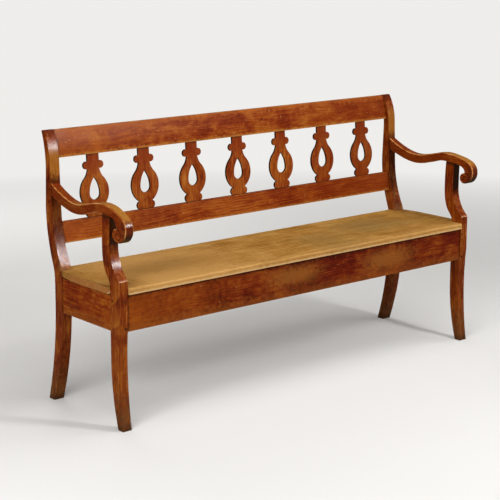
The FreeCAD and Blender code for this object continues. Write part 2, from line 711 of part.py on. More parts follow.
def seat_board():
    """One plank, notched round the four posts and rounded along its front edge."""
    gap = SEAT_NOTCH_GAP
    end = OUTER + SEAT_END_OVERHANG
    back = REAR_POST_AT + SEAT_PAST_POST_FACE
    front_notch = FRONT_BLOCK_DEPTH + gap
    rear_notch = REAR_POST_AT - gap
    half = Outline(V(0, -SEAT_NOSE, SEAT_BOTTOM), V(0, 0, 1))
    half.line(V(FRONT_INNER - gap, -SEAT_NOSE, SEAT_BOTTOM))
    half.line(V(FRONT_INNER - gap, front_notch, SEAT_BOTTOM))
    half.line(V(end, front_notch, SEAT_BOTTOM))
    half.line(V(end, rear_notch - SEAT_END_TAPER, SEAT_BOTTOM))
    half.line(V(REAR_OUTER, rear_notch, SEAT_BOTTOM))
    half.line(V(REAR_INNER - gap, rear_notch, SEAT_BOTTOM))
    half.line(V(REAR_INNER - gap, back, SEAT_BOTTOM))
    half.line(V(0, back, SEAT_BOTTOM))
    plank = half.face().extrude(V(0, 0, SEAT_THICK))
    plank = plank.fuse(mirrored(plank)).removeSplitter()
    ends = [edge for edge in plank.Edges if on_edge(edge, "XMin", end) or on_edge(edge, "XMax", -end)]
    plank = plank.makeFillet(SEAT_EDGE_ROUND, ends)
    nose = [edge for edge in plank.Edges if on_edge(edge, "YMax", -SEAT_NOSE)]
    return plank.makeFillet(SEAT_NOSE_ROUND, nose)


def glue_blocks():
    """Triangular blocks glued under the seat along the long aprons, midway between the bearers."""
    front = FRONT_APRON_SETBACK + APRON_THICK
    back = REAR_POST_BACK - REAR_APRON_SETBACK - APRON_THICK
    places = [(number - BEARER_COUNT / 2) * BEARER_STEP for number in range(BEARER_COUNT + 1)]
    blocks = []
    for corner, inward in ((front, 1), (back, -1)):
        outline = Outline(side(corner, SEAT_BOTTOM))
        outline.line(side(corner + inward * GLUE_BLOCK, SEAT_BOTTOM))
        outline.line(side(corner, SEAT_BOTTOM - GLUE_BLOCK))
        face = outline.face()
        for x in places:
            blocks.append(board(face, x - GLUE_BLOCK_LENGTH / 2, x + GLUE_BLOCK_LENGTH / 2))
    return Part.makeCompound(blocks)


def peg_group(places):
    every = []
    for one in places(peg):
        every += both_ends(one)
    return Part.makeCompound(every)


LEFT_SCROLL = (LEFT_SCROLL_AT, LEFT_SCROLL_DROP, LEFT_CURL_REACH)
RIGHT_SCROLL = (RIGHT_SCROLL_AT, RIGHT_SCROLL_DROP, RIGHT_CURL_REACH)

pieces = {
    "front_post_left": mirrored(front_post()),
    "front_post_right": front_post(),
    "rear_post_left": mirrored(rear_post()),
    "rear_post_right": rear_post(),
    "arm_left": mirrored(arm(LEFT_SCROLL)),
    "arm_right": arm(RIGHT_SCROLL),
    "crest_rail": back_rail(crest_face),
    "lower_back_rail": back_rail(lower_rail_face),
    "seat_board": seat_board(),
    "front_apron": front_apron(),
    "rear_apron": rear_apron(),
    "side_apron_left": mirrored(side_apron()),
    "side_apron_right": side_apron(),
    "glue_blocks": glue_blocks(),
    "arm_pegs": peg_group(arm_pegs),
    "front_apron_pegs": peg_group(front_apron_pegs),
    "side_apron_pegs": peg_group(side_apron_pegs),
    "rear_apron_pegs": peg_group(rear_apron_pegs),
}
one_splat = splat()
for number, x in enumerate(splat_places(), start=1):
    pieces[f"splat_{number}"] = moved(one_splat, x)
for number, x in enumerate(bearer_places(), start=1):
    pieces[f"seat_bearer_{number}"] = bearer(x)

whole = Part.makeCompound(list(pieces.values())).optimalBoundingBox(False)
middle_y = (whole.YMin + whole.YMax) / 2
os.makedirs("parts", exist_ok=True)
for name, solid in pieces.items():
    placed = solid.copy()
    placed.translate(V(0, -middle_y, 0))
    placed.exportStep(f"parts/{name}.step")
print(f"stood back by {middle_y:.3f}, {whole.XLength:.1f} x {whole.YLength:.1f} x {whole.ZLength:.1f}")
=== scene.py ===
# Country settle bench: sabre legs, scroll arms, pierced splats and a plank seat.
# Metres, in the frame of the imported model: X along the bench, the sitter faces -Y, Z up.
import bpy
import math
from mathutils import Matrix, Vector


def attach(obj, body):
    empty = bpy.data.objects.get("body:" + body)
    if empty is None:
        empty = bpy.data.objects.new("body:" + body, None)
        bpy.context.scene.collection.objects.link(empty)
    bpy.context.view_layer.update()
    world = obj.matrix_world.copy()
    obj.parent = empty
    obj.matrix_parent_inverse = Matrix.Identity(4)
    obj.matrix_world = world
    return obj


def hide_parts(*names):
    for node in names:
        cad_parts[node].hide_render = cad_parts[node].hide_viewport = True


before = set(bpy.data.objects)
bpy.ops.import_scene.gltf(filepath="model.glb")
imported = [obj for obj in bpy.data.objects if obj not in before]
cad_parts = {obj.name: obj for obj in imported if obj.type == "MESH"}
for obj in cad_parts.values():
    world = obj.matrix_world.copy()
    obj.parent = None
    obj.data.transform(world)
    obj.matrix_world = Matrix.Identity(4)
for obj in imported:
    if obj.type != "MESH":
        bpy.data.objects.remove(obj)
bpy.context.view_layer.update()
bpy.ops.object.select_all(action="DESELECT")


# Front posts. Each is sawn from one plank: a sabre leg, a square block beside the seat and the
# support that carries the arm. Stained and varnished softwood, its arrises rubbed pale by use and
# painted lighter still as a highlight.
POST_TONES = [(0.060, 0.005, 0.0003), (0.130, 0.015, 0.0010), (0.185, 0.028, 0.0020),
              (0.255, 0.056, 0.0040), (0.380, 0.130, 0.0140)]
# Lighter tones for the rounded arrises: rubbed wear, and a painted highlight along each arris.
WORN_AND_PAINTED_HIGHLIGHT_TONES = [(0.180, 0.035, 0.0040), (0.290, 0.080, 0.0120), (0.400, 0.140, 0.0300),
              (0.520, 0.230, 0.0700), (0.680, 0.380, 0.1600)]
# Near-black used for dirt, and also as painted shade in joints, crevices and under parts.
DIRT_AND_PAINTED_SHADE = (0.016, 0.0040, 0.0010)
FOOT_DULL = (0.110, 0.0450, 0.0130)
POST_ARRIS = 0.0022
# Pale pink of the painted highlight along the block's arrises.
CHEVRON_HIGHLIGHT_PINK = (0.720, 0.420, 0.2600)
GRAIN_WANDER = 0.02
RAMP_STOPS = (0.16, 0.36, 0.50, 0.64, 0.88)
FLECKS_PER_METRE = 150.0
DENT_STRENGTH = 0.45
DENT_DEPTH = 0.0011
MERGE_WITHIN = 0.00001
FLAT_WITHIN = math.radians(0.6)
SOFT_UNDER = math.radians(40.0)


def add_node(material, kind, **values):
    """Adds a shader node, its settings by name and its unlinked inputs by socket name."""
    made = material.node_tree.nodes.new(kind)
    for key, value in values.pop("settings", {}).items():
        setattr(made, key, value)
    for socket, value in values.items():
        made.inputs[socket.replace("_", " ")].default_value = value
    return made


def link(material, source, target):
    """Joins an output to an input."""
    material.node_tree.links.new(source, target)


def blend_colour(material, mask, below, above):
    """Mixes two colours, each a constant or an output, by a mask between 0 and 1."""
    mix = add_node(material, "ShaderNodeMix", settings={"data_type": "RGBA"})
    link(material, mask, mix.inputs[0])
    for socket, value in ((mix.inputs[6], below), (mix.inputs[7], above)):
        if isinstance(value, tuple):
            socket.default_value = (*value, 1.0)
        else:
            link(material, value, socket)
    return mix.outputs[2]


def between(material, value, low, high, least=0.0, most=1.0):
    """Clamped ramp of a value from one range to another."""
    ramp = add_node(material, "ShaderNodeMapRange", From_Min=low, From_Max=high, To_Min=least,
                    To_Max=most)
    ramp.clamp = True
    link(material, value, ramp.inputs[0])
    return ramp.outputs[0]


def combined(material, first, second, operation="MULTIPLY"):
    """One step of arithmetic on two values, each a constant or an output."""
    maths = add_node(material, "ShaderNodeMath", settings={"operation": operation})
    for socket, value in zip(maths.inputs, (first, second)):
        if isinstance(value, (int, float)):
            socket.default_value = value
        else:
            link(material, value, socket)
    return maths.outputs[0]


def noise(material, vector, scale, detail=3.0, roughness=0.55, distortion=0.0):
    """A cloudy pattern between 0 and 1, around one half."""
    made = add_node(material, "ShaderNodeTexNoise", Scale=scale, Detail=detail, Roughness=roughness,
                    Distortion=distortion)
    link(material, vector, made.inputs["Vector"])
    return made.outputs["Fac"]


def stretched(material, vector, along, across_scale, along_scale):
    """Coordinates squeezed so that a pattern runs long along one axis of the wood."""
    scale = [across_scale] * 3
    scale["XYZ".index(along)] = along_scale
    mapping = add_node(material, "ShaderNodeMapping", Scale=scale)
    link(material, vector, mapping.inputs["Vector"])
    return mapping.outputs["Vector"]


def growth_rings(material, vector, along, pith, tilt, spacing):
    """Rings about a pith line beside the piece, tilted so that they surface as long arches."""
    shifted = add_node(material, "ShaderNodeMapping", Location=[-value for value in pith])
    link(material, vector, shifted.inputs["Vector"])
    turned = add_node(material, "ShaderNodeMapping",
                      Rotation=[math.radians(value) for value in tilt])
    link(material, shifted.outputs["Vector"], turned.inputs["Vector"])
    rings = add_node(material, "ShaderNodeTexWave", Scale=math.tau / 20 / spacing, Distortion=1.6,
                     Detail=2.0, Detail_Scale=0.22, Detail_Roughness=0.6,
                     settings={"wave_type": "RINGS", "rings_direction": along,
                               "wave_profile": "SAW"})
    link(material, turned.outputs["Vector"], rings.inputs["Vector"])
    return rings.outputs["Fac"]


def band(material, split, ragged, limits):
    """Mask of ramps, each full to none, along X, Y, Z, both ends of one, or the normal's Y or Z."""
    mask = None
    for axis, full, none in limits:
        where = split[axis.replace("+-", "")]
        if axis.startswith("+-"):
            where = combined(material, where, 0.0, "ABSOLUTE")
        if not axis.startswith("N"):
            reach = 0.4 * abs(none - full)
            fray = between(material, ragged, 0.3, 0.7, -reach, reach)
            where = combined(material, where, fray, "ADD")
        part = between(material, where, full, none, 1.0, 0.0)
        mask = part if mask is None else combined(material, mask, part)
    return mask


def varnished_wood(name, along, tones, washes=(), pith=(0.31, -0.47, 0.22), tilt=(1.5, 2.0, 1.0),
                   rings=0.30, clouds=0.42, spacing=0.0052, roughness=(0.18, 0.34), gloss=0.36,
                   flecks=0.0, run=12.0):
    """Stained wood under old varnish: rings, streaks, cloudy stain, pores and a soft gloss."""
    material = bpy.data.materials.new(name)
    material.use_nodes = True
    shader = material.node_tree.nodes["Principled BSDF"]
    place = add_node(material, "ShaderNodeTexCoord").outputs["Object"]

    wander = add_node(material, "ShaderNodeTexNoise", Scale=5.0, Detail=2.0)
    link(material, place, wander.inputs["Vector"])
    drift = add_node(material, "ShaderNodeVectorMath", settings={"operation": "MULTIPLY_ADD"})
    link(material, wander.outputs["Color"], drift.inputs[0])
    drift.inputs[1].default_value = (GRAIN_WANDER, GRAIN_WANDER, GRAIN_WANDER)
    link(material, place, drift.inputs[2])
    drifted = drift.outputs[0]

    ring = growth_rings(material, drifted, along, pith, tilt, spacing)
    streaks = noise(material, stretched(material, drifted, along, 210, 9), 1.0, 5.0, 0.62)
    pores = noise(material, stretched(material, drifted, along, 1300, 60), 1.0, 2.0)
    cloud = noise(material, stretched(material, drifted, along, 34, run), 1.0, 5.0, 0.6, 0.7)
    patch = noise(material, place, 9.0, 4.0, 0.55, 0.5)
    mottle = noise(material, stretched(material, place, along, 95, 42), 1.0, 4.0, 0.65, 0.4)

    tone = combined(material, between(material, streaks, 0.36, 0.64), 1.0 - rings - clouds)
    tone = combined(material, tone, combined(material, ring, rings), "ADD")
    for pattern, low, high, share in ((cloud, 0.37, 0.63, 0.32), (patch, 0.39, 0.61, 0.42),
                                      (mottle, 0.36, 0.64, 0.26)):
        part = between(material, pattern, low, high, 0.0, clouds * share)
        tone = combined(material, tone, part, "ADD")
    ramp = add_node(material, "ShaderNodeValToRGB")
    link(material, tone, ramp.inputs["Fac"])
    steps = ramp.color_ramp.elements
    for step, (where, colour) in enumerate(zip(RAMP_STOPS, tones)):
        stop = steps[step] if step < 2 else steps.new(where)
        stop.position = where
        stop.color = (*colour, 1.0)
    open_pores = between(material, pores, 0.30, 0.44, 0.55, 0.0)
    colour = blend_colour(material, open_pores, ramp.outputs["Color"], tones[0])
    if flecks:
        spots = noise(material, place, FLECKS_PER_METRE, 1.0)
        chips = between(material, spots, 0.722, 0.750, 0.0, flecks)
        colour = blend_colour(material, chips, colour, WORN_AND_PAINTED_HIGHLIGHT_TONES[4])

    ragged = noise(material, place, 75.0, 3.0)
    split_place = add_node(material, "ShaderNodeSeparateXYZ")
    link(material, place, split_place.inputs[0])
    facing = add_node(material, "ShaderNodeNewGeometry").outputs["Normal"]
    split_facing = add_node(material, "ShaderNodeSeparateXYZ")
    link(material, facing, split_facing.inputs[0])
    split = {axis: split_place.outputs[axis] for axis in "XYZ"}
    split |= {"N" + axis: split_facing.outputs[axis] for axis in "YZ"}
    for wash, most, limits in washes:
        mask = combined(material, band(material, split, ragged, limits), most)
        colour = blend_colour(material, mask, colour, wash)
    link(material, colour, shader.inputs["Base Color"])

    sheen = between(material, cloud, 0.3, 0.7, roughness[0], roughness[1])
    link(material, sheen, shader.inputs["Roughness"])
    shader.inputs["Specular IOR Level"].default_value = gloss

    hollow = noise(material, stretched(material, place, along, 42, 13), 1.0, 2.0)
    relief = combined(material, pores, 0.10)
    for pattern, share in ((ring, 0.06), (streaks, 0.22)):
        relief = combined(material, relief, combined(material, pattern, share), "ADD")
    relief = combined(material, relief, hollow, "ADD")
    bump = add_node(material, "ShaderNodeBump", Strength=DENT_STRENGTH, Distance=DENT_DEPTH)
    link(material, relief, bump.inputs["Height"])
    link(material, bump.outputs["Normal"], shader.inputs["Normal"])
    return material


def only(piece):
    """Makes one piece the whole selection."""
    bpy.ops.object.select_all(action="DESELECT")
    piece.select_set(True)
    bpy.context.view_layer.objects.active = piece


def smoothed(piece):
    """Soft shading over the arrises, with the flat faces kept flat."""
    only(piece)
    bpy.ops.object.shade_smooth_by_angle(angle=SOFT_UNDER)
    shading = piece.modifiers.new("flat_faces", "WEIGHTED_NORMAL")
    shading.keep_sharp = True
    bpy.ops.object.modifier_apply(modifier=shading.name)


def worn_copy(node, arris, materials, segments=3, angle=28):
    """A merged copy of a CAD piece, its arrises rounded and given the lighter arris material of
    wear and painted highlight, standing in for the node.
    """
    piece = bpy.data.objects.new(node + "_worn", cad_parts[node].data.copy())
    bpy.context.scene.collection.objects.link(piece)
    piece.data.materials.clear()
    for material in materials:
        piece.data.materials.append(material)
    for face in piece.data.polygons:
        face.material_index = 0
    only(piece)
    bpy.ops.object.mode_set(mode="EDIT")
    bpy.ops.mesh.select_all(action="SELECT")
    bpy.ops.mesh.remove_doubles(threshold=MERGE_WITHIN)
    bpy.ops.mesh.dissolve_limited(angle_limit=FLAT_WITHIN)
    bpy.ops.object.mode_set(mode="OBJECT")
    rounding = piece.modifiers.new("arrises", "BEVEL")
    rounding.width = arris
    rounding.segments = segments
    rounding.limit_method = "ANGLE"
    rounding.angle_limit = math.radians(angle)
    rounding.material = 1 if len(materials) > 1 else -1
    rounding.use_clamp_overlap = True
    bpy.ops.object.modifier_apply(modifier=rounding.name)
    smoothed(piece)
    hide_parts(node)
    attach(piece, "root")
    return piece


dull_foot = (FOOT_DULL, 0.75, [("Z", 0.015, 0.150)])
foot_dirt = (DIRT_AND_PAINTED_SHADE, 0.60, [("Z", 0.004, 0.026)])
# Painted shadow of the scroll on the support's front face, and lines of painted shade with dirt
# under the arm and where the aprons meet the block.
throat_painted_shadow = (DIRT_AND_PAINTED_SHADE, 0.93, [("Z", 0.585, 0.545), ("NY", -0.80, -0.45)])
under_arm_shade_and_dirt = (DIRT_AND_PAINTED_SHADE, 0.80, [("Z", 0.669, 0.658)])
block_joint_shade_and_dirt = (DIRT_AND_PAINTED_SHADE, 0.75, [("+-X", 0.7515, 0.7550), ("Z", 0.318, 0.308), ("Z", 0.425, 0.435)])
# Painted highlight: a pale pink line along the worn top arris of the block's front face.
chevron_highlight = (CHEVRON_HIGHLIGHT_PINK, 0.85, [("Z", 0.4740, 0.4715), ("Z", 0.4765, 0.4790),
                                ("NY", -0.85, -0.60)])
post_washes = [dull_foot, foot_dirt, throat_painted_shadow, under_arm_shade_and_dirt, block_joint_shade_and_dirt, chevron_highlight]
# Painted highlight along the block's outer worn arris.
block_arris_highlight = (CHEVRON_HIGHLIGHT_PINK, 0.80, [("Z", 0.440, 0.415), ("Z", 0.480, 0.500),
                                    ("+-X", 0.790, 0.775)])
front_post_wood = varnished_wood("front_post_wood", "Z", POST_TONES, post_washes,
                                 pith=(0.84, -0.10, 0.0), rings=0.20, clouds=0.48)
front_post_arris = varnished_wood("front_post_arris", "Z", WORN_AND_PAINTED_HIGHLIGHT_TONES,
                                  post_washes + [block_arris_highlight])
for end in ("left", "right"):
    post = worn_copy(f"front_post_{end}", POST_ARRIS, [front_post_wood, front_post_arris])


# Rear posts. Leg and back post are one piece, swept by eye; the front face is worn smooth and
# glossy by hands, and the foot on the seat is scuffed pale.
SCUFFED = (0.330, 0.190, 0.0700)
HAND_OCHRE = (0.330, 0.130, 0.0160)
REAR_ARRIS = 0.0024
seat_scuff = (SCUFFED, 0.35, [("Z", 0.452, 0.482), ("Z", 0.449, 0.446), ("Y", 0.150, 0.158)])
hand_amber = (HAND_OCHRE, 0.60, [("Z", 0.825, 0.855), ("Z", 0.755, 0.725), ("NY", -0.85, -0.50)])
hand_dark = (DIRT_AND_PAINTED_SHADE, 0.55, [("Z", 0.735, 0.765), ("Z", 0.690, 0.670), ("NY", -0.85, -0.50)])
top_dark = (POST_TONES[0], 0.65, [("Z", 0.886, 0.868)])
# Painted shade on the post's front face below the arm, with dirt.
under_tenon_painted_shade = (DIRT_AND_PAINTED_SHADE, 0.60, [("Z", 0.690, 0.715), ("Z", 0.560, 0.480), ("NY", -0.85, -0.50)])
rear_washes = [dull_foot, foot_dirt, hand_amber, hand_dark, top_dark, under_tenon_painted_shade, seat_scuff]
rear_post_wood = varnished_wood("rear_post_wood", "Z", POST_TONES, rear_washes,
                                pith=(0.86, 0.30, 0.0), rings=0.20, clouds=0.48)
rear_post_arris = varnished_wood("rear_post_arris", "Z", WORN_AND_PAINTED_HIGHLIGHT_TONES, rear_washes)
for end in ("left", "right"):
    post = worn_copy(f"rear_post_{end}", REAR_ARRIS, [rear_post_wood, rear_post_arris])


# Arms. Band-sawn from a thick plank, rounded over by hand, tenoned and pegged into the rear post
# and set on the support's tenon; the front end is a scroll with its spiral cut into both cheeks.
ARM_TOP_OCHRE = (0.380, 0.170, 0.0260)
ARM_TONES = [(0.110, 0.011, 0.0010), (0.165, 0.022, 0.0020), (0.215, 0.038, 0.0032),
             (0.280, 0.066, 0.0060), (0.380, 0.125, 0.0150)]
ROLL_BROWN = (0.085, 0.0110, 0.0020)
CHEEKS = (0.7606, 0.7916)
CURL_AT = {"left": (-0.1745, 0.6178), "right": (-0.1881, 0.6195)}
SPIRAL_AHEAD = 0.0115
SPIRAL_RADIUS = (0.0206, 0.0045)
SPIRAL_TURN = (66.0, 500.0)
GROOVE_RADIUS = 0.0022
GROOVE_POINTS = 56
GROOVE_THINNING = 0.35
ARM_ARRIS = 0.0017
CHAMFER_LEAN = (0.35, 0.93)
arm_top = (ARM_TOP_OCHRE, 0.75, [("NZ", 0.92, 0.30), ("Y", -0.020, 0.060)])
arm_roll = (ROLL_BROWN, 0.90, [("Y", -0.219, -0.200), ("NZ", 0.30, 0.75), ("Z", 0.690, 0.705)])
# Dirt with painted shade where the arm enters the rear post, and painted shade on the arm's
# underside at the throat.
arm_joint_shade_and_dirt = (DIRT_AND_PAINTED_SHADE, 0.80, [("Y", 0.1865, 0.1800)])
arm_throat_painted_shade = (DIRT_AND_PAINTED_SHADE, 0.85, [("NZ", -0.55, -0.10), ("Y", -0.150, -0.105)])
arm_cheek = (POST_TONES[1], 0.60, [("NZ", 0.10, 0.40), ("NZ", -0.30, -0.60),
                                   ("Y", -0.060, -0.120)])
arm_back = (POST_TONES[1], 0.60, [("NZ", 0.80, 0.50), ("Y", 0.120, 0.080)])
arm_wood = varnished_wood("arm_wood", "Y", ARM_TONES,
                          [arm_cheek, arm_back, arm_top, arm_roll, arm_joint_shade_and_dirt, arm_throat_painted_shade],
                          pith=(0.70, 0.0, 0.60), clouds=0.5)
arm_arris = varnished_wood("arm_arris", "Y", WORN_AND_PAINTED_HIGHLIGHT_TONES, [arm_joint_shade_and_dirt, arm_throat_painted_shade],
                           pith=(0.70, 0.0, 0.60))
# The gouged spiral is near-black: dirt in the groove and painted shade.
groove_dark = varnished_wood("groove_dark", "Y",
                             [DIRT_AND_PAINTED_SHADE, DIRT_AND_PAINTED_SHADE, ROLL_BROWN, ROLL_BROWN, POST_TONES[0]])


def carve_spiral(arm, end):
    """Cuts the scroll's spiral into both cheeks with a round gouge that runs out at the eye."""
    side = -1 if end == "left" else 1
    centre_y, centre_z = CURL_AT[end][0] - SPIRAL_AHEAD, CURL_AT[end][1]
    for cheek in CHEEKS:
        path = bpy.data.curves.new("gouge_path", "CURVE")
        path.dimensions = "3D"
        path.bevel_depth = GROOVE_RADIUS
        path.bevel_resolution = 2
        path.use_fill_caps = True
        line = path.splines.new("POLY")
        line.points.add(GROOVE_POINTS - 1)
        for number, point in enumerate(line.points):
            share = number / (GROOVE_POINTS - 1)
            angle = math.radians(SPIRAL_TURN[0] + share * (SPIRAL_TURN[1] - SPIRAL_TURN[0]))
            radius = SPIRAL_RADIUS[0] + share * (SPIRAL_RADIUS[1] - SPIRAL_RADIUS[0])
            point.co = (side * cheek, centre_y + radius * math.cos(angle),
                        centre_z + radius * math.sin(angle), 1.0)
            point.radius = 1.0 - GROOVE_THINNING * share
        gouge = bpy.data.objects.new("gouge", path)
        bpy.context.scene.collection.objects.link(gouge)
        only(gouge)
        bpy.ops.object.convert(target="MESH")
        gouge = bpy.context.object
        gouge.data.materials.clear()
        gouge.data.materials.append(groove_dark)
        cut = arm.modifiers.new("spiral", "BOOLEAN")
        cut.operation = "DIFFERENCE"
        cut.solver = "EXACT"
        cut.material_mode = "TRANSFER"
        cut.object = gouge
        only(arm)
        bpy.ops.object.modifier_apply(modifier=cut.name)
        bpy.data.objects.remove(gouge)
    smoothed(arm)


for end in ("left", "right"):
    arm = worn_copy(f"arm_{end}", ARM_ARRIS, [arm_wood, arm_arris], angle=24)
    for face in arm.data.polygons:
        if CHAMFER_LEAN[0] < abs(face.normal.x) < CHAMFER_LEAN[1]:
            face.material_index = 1
    carve_spiral(arm, end)


# Back rails. A bellied crest and a flat lower rail, tenoned between the rear posts; the lower
# edges are rubbed to a yellower wood, and dirt with painted shade darkens them where they meet the
# posts.
CREST_TONES = [(0.088, 0.0065, 0.0005), (0.158, 0.0180, 0.0012), (0.212, 0.0340, 0.0024),
               (0.270, 0.0610, 0.0048), (0.370, 0.1230, 0.0150)]
RAIL_TONES = [(0.086, 0.0055, 0.0005), (0.150, 0.0155, 0.0012), (0.202, 0.0310, 0.0024),
              (0.262, 0.0550, 0.0045), (0.340, 0.0980, 0.0105)]
RUBBED_YELLOW = (0.400, 0.170, 0.0300)
CREST_AMBER = (0.350, 0.092, 0.0110)
RAIL_ARRIS = 0.0014
# Dirt and painted shade at the rail ends, where they meet the posts.
rail_joint_shade_and_dirt = (DIRT_AND_PAINTED_SHADE, 0.75, [("+-X", 0.7508, 0.7430)])
crest_washes = [(CREST_AMBER, 0.40, [("X", -0.740, -0.250)]),
                (POST_TONES[2], 0.45, [("X", 0.700, 0.200)]),
                (CREST_AMBER, 0.60, [("Z", 0.892, 0.874)]),
                (RUBBED_YELLOW, 0.70, [("Z", 0.804, 0.813)]), rail_joint_shade_and_dirt]
rail_washes = [(CREST_AMBER, 0.35, [("X", -0.740, -0.150)]),
               (POST_TONES[2], 0.55, [("X", 0.700, 0.100)]),
               (RUBBED_YELLOW, 0.60, [("Z", 0.528, 0.536)]), rail_joint_shade_and_dirt]
crest_wood = varnished_wood("crest_wood", "X", CREST_TONES, crest_washes, pith=(0.0, 0.28, 0.70),
                            tilt=(0.0, 1.2, 0.8), rings=0.14, clouds=0.62, roughness=(0.28, 0.40),
                            gloss=0.08, flecks=0.6)
rail_wood = varnished_wood("rail_wood", "X", RAIL_TONES, rail_washes, pith=(0.0, 0.27, 0.50),
                           tilt=(0.0, 0.9, 0.6), rings=0.26, clouds=0.46, roughness=(0.28, 0.42),
                           gloss=0.13, flecks=0.3)
rail_arris = varnished_wood("rail_arris", "X", WORN_AND_PAINTED_HIGHLIGHT_TONES, [rail_joint_shade_and_dirt])
worn_copy("crest_rail", RAIL_ARRIS, [crest_wood, rail_arris])
worn_copy("lower_back_rail", RAIL_ARRIS, [rail_wood, rail_arris])


# Splats. Fret-sawn from thin board with the grain upright, stub-tenoned into both rails; the sawn
# edges are near-black, the ends are darkened with dirt and painted shade at the rails, and the
# front arris is a light line of wear and painted highlight.
SPLAT_TONES = [(0.100, 0.0100, 0.0008), (0.172, 0.0250, 0.0020), (0.238, 0.0470, 0.0040),
               (0.302, 0.0790, 0.0080), (0.390, 0.1380, 0.0180)]
SAWN_TONES = [(0.006, 0.0015, 0.0005), (0.012, 0.0025, 0.0006), (0.020, 0.0040, 0.0010),
              (0.035, 0.0070, 0.0015), (0.070, 0.0150, 0.0030)]
SPLAT_NECK_RED = (0.180, 0.022, 0.0025)
SPLAT_RIGHT_RED = (0.165, 0.020, 0.0020)
SPLAT_ARRIS = 0.0009
SPLAT_COUNT = 7
SAWN_LEAN = 0.5
# Dirt and painted shade where the splats enter the crest and the lower rail.
splat_joint_shade_and_dirt = [(DIRT_AND_PAINTED_SHADE, 0.80, [("Z", 0.8030, 0.7970)]), (DIRT_AND_PAINTED_SHADE, 0.70, [("Z", 0.5955, 0.6000)])]
splat_washes = [(SPLAT_NECK_RED, 0.75, [("Z", 0.780, 0.720)]), *splat_joint_shade_and_dirt,
                (SPLAT_RIGHT_RED, 0.6, [("X", 0.600, 0.150)])]
splat_wood = varnished_wood("splat_wood", "Z", SPLAT_TONES, splat_washes, pith=(0.05, 0.24, 0.0),
                            tilt=(1.0, 1.0, 0.0), rings=0.20, clouds=0.46,
                            roughness=(0.26, 0.42), gloss=0.22)
splat_arris = varnished_wood("splat_arris", "Z", WORN_AND_PAINTED_HIGHLIGHT_TONES, splat_joint_shade_and_dirt)
# The sawn side faces and hole walls are coloured near-black.
splat_edge = varnished_wood("splat_edge", "Z", SAWN_TONES, splat_joint_shade_and_dirt, roughness=(0.5, 0.7),
                            gloss=0.08)
for number in range(1, SPLAT_COUNT + 1):
    splat = worn_copy(f"splat_{number}", SPLAT_ARRIS, [splat_wood, splat_arris, splat_edge],
                      segments=2)
    for face in splat.data.polygons:
        if face.material_index == 0 and abs(face.normal.y) < SAWN_LEAN:
            face.material_index = 2


# Seat board. One wide pine plank, its varnish worn off by sitting, with straight grain, grey
# stains near the right end and a pale, chipped front edge; notched tightly round the four posts.
SEAT_TONES = [(0.170, 0.0580, 0.0060), (0.275, 0.1160, 0.0150), (0.352, 0.1680, 0.0290),
              (0.425, 0.2180, 0.0500), (0.530, 0.3000, 0.1000)]
NOSE_PALE = (0.620, 0.380, 0.1700)
SEAT_GREY = (0.260, 0.160, 0.0480)
SEAT_PALE = (0.500, 0.270, 0.0800)
# Colour of the painted shadow of the left arm on the seat.
SEAT_ARM_SHADOW = (0.185, 0.0850, 0.0150)
SEAT_END_PINK = (0.330, 0.120, 0.0400)
SEAT_ARRIS = 0.0012
grey_stain = (SEAT_GREY, 0.65, [("X", 0.420, 0.250), ("X", 0.500, 0.720), ("Y", 0.060, 0.140),
                                ("Y", -0.040, -0.120)])
second_stain = (SEAT_GREY, 0.45, [("X", 0.130, 0.040), ("X", 0.200, 0.330), ("Y", 0.000, 0.060)])
# Painted shadow on the seat's front-left corner beside the front post.
front_post_shadow_on_seat = (SEAT_TONES[0], 0.20, [("X", -0.720, -0.640), ("Y", -0.100, 0.020)])
pale_middle = (SEAT_PALE, 0.70, [("X", -0.400, -0.150), ("X", -0.620, -0.780)])
# Dirt and painted shade on the seat beside the rear posts.
beside_legs_shade_and_dirt = (DIRT_AND_PAINTED_SHADE, 0.55, [("+-X", 0.7480, 0.7380), ("Y", 0.135, 0.120)])
# Painted shadow of the left arm, soft-edged, on the seat's left half.
arm_shadow_on_seat = (SEAT_ARM_SHADOW, 0.42, [("X", -0.421, -0.251), ("X", -0.591, -0.691), ("Y", 0.002, 0.072),
                             ("Y", -0.057, -0.117)])
pale_front = (SEAT_PALE, 0.40, [("Y", -0.185, -0.140)])
# Dirt and painted shade in a line where the seat's end passes the front post.
seat_end_shade_and_dirt = (DIRT_AND_PAINTED_SHADE, 0.45, [("+-X", 0.7925, 0.7905), ("+-X", 0.7950, 0.7970), ("NZ", 0.95, 0.80)])
nose_specks = (NOSE_PALE, 0.85, [("Z", 0.4330, 0.4390), ("NY", -0.60, -0.30)])
end_pink = (SEAT_END_PINK, 0.60, [("+-X", 0.7985, 0.7940)])
seat_top = varnished_wood("seat_top", "X", SEAT_TONES,
                          [pale_middle, grey_stain, second_stain, front_post_shadow_on_seat, arm_shadow_on_seat,
                           pale_front, seat_end_shade_and_dirt, end_pink, nose_specks, beside_legs_shade_and_dirt],
                          pith=(0.0, -1.10, 0.36), tilt=(0.0, 0.15, 0.15), rings=0.30, clouds=0.42,
                          spacing=0.0160, roughness=(0.42, 0.60), gloss=0.2, run=2.5)
seat_edge = varnished_wood("seat_edge", "X", SEAT_TONES,
                           [pale_middle, front_post_shadow_on_seat, end_pink, nose_specks],
                           clouds=0.5, roughness=(0.45, 0.60), gloss=0.2)
worn_copy("seat_board", SEAT_ARRIS, [seat_top, seat_edge])


